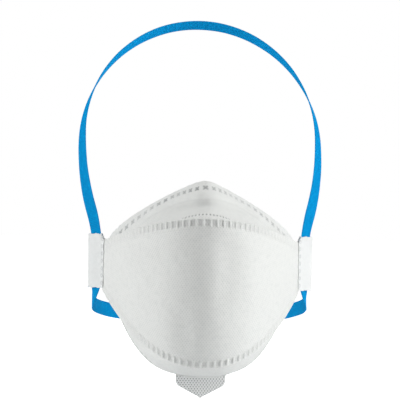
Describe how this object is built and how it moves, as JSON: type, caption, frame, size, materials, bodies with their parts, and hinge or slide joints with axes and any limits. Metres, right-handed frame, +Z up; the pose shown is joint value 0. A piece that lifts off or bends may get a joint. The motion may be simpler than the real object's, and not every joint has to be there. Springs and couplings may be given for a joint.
{
  "type": "disposable dust mask",
  "caption": "Flat-fold disposable dust mask: folding nose and chin panels on a curved centre panel, side tabs with elastic headbands, nose clip and chin pull tab.",
  "frame": {"origin": "under the middle of the mask's bounding box, at the height of the chin tab's tip", "axes": "+Z up as worn, -Y the way the wearer faces, +X the wearer's left"},
  "size_m": [0.1584, 0.1787, 0.2444],
  "materials": {
    "cover_web": "matte point-bonded non-woven",
    "stiffener_web": "open stiff non-woven",
    "filter_web": "lofted melt-blown fibre",
    "inner_web": "smooth soft non-woven",
    "tab_web": "non-woven with rows of small dark point bonds",
    "side_tab_web": "smooth non-woven with ring-shaped welds",
    "nose_clip_metal": "satin",
    "nose_foam": "fine open-cell foam",
    "staple_steel": "bright wire",
    "elastic": "ribbed knitted elastic"
  },
  "bodies": {
    "centre_panel": {"centre_cover_web": "cover_web", "centre_stiffener": "stiffener_web", "centre_filter": "filter_web", "centre_inner_web": "inner_web", "side_tab_left": "side_tab_web", "side_tab_right": "side_tab_web", "staple_upper_left": "staple_steel", "staple_upper_right": "staple_steel", "staple_lower_left": "staple_steel", "staple_lower_right": "staple_steel"},
    "upper_panel": {"upper_cover_web": "cover_web", "upper_filter": "filter_web", "upper_inner_web": "inner_web", "nose_clip": "nose_clip_metal", "nose_foam": "nose_foam"},
    "lower_panel": {"lower_cover_web": "cover_web", "lower_filter": "filter_web", "lower_inner_web": "inner_web"},
    "chin_pull": {"chin_tab": "tab_web"},
    "crown_band": {"upper_headband": "elastic"},
    "nape_band": {"lower_headband": "elastic"}
  },
  "joints": [
    {"name": "upper_panel_fold", "type": "hinge", "parent": "centre_panel", "child": "upper_panel", "pos_m": [0, -0.0119, 0.0965], "axis": [1, 0, 0], "range_deg": [-8, 65], "stiffness_Nm_per_rad": 0.02},
    {"name": "lower_panel_fold", "type": "hinge", "parent": "centre_panel", "child": "lower_panel", "pos_m": [0, -0.0119, 0.0595], "axis": [-1, 0, 0], "range_deg": [-10, 60], "stiffness_Nm_per_rad": 0.02},
    {"name": "chin_tab_flex", "type": "hinge", "parent": "lower_panel", "child": "chin_pull", "pos_m": [0, -0.0309, 0.0131], "axis": [1, 0, 0], "range_deg": [-60, 75]},
    {"name": "crown_band_swing", "type": "hinge", "parent": "centre_panel", "child": "crown_band", "pos_m": [0, -0.0066, 0.108], "axis": [1, 0, 0], "range_deg": [-25, 110]},
    {"name": "nape_band_swing", "type": "hinge", "parent": "centre_panel", "child": "nape_band", "pos_m": [0, -0.0034, 0.059], "axis": [-1, 0, 0], "range_deg": [-30, 100]}
  ]
}
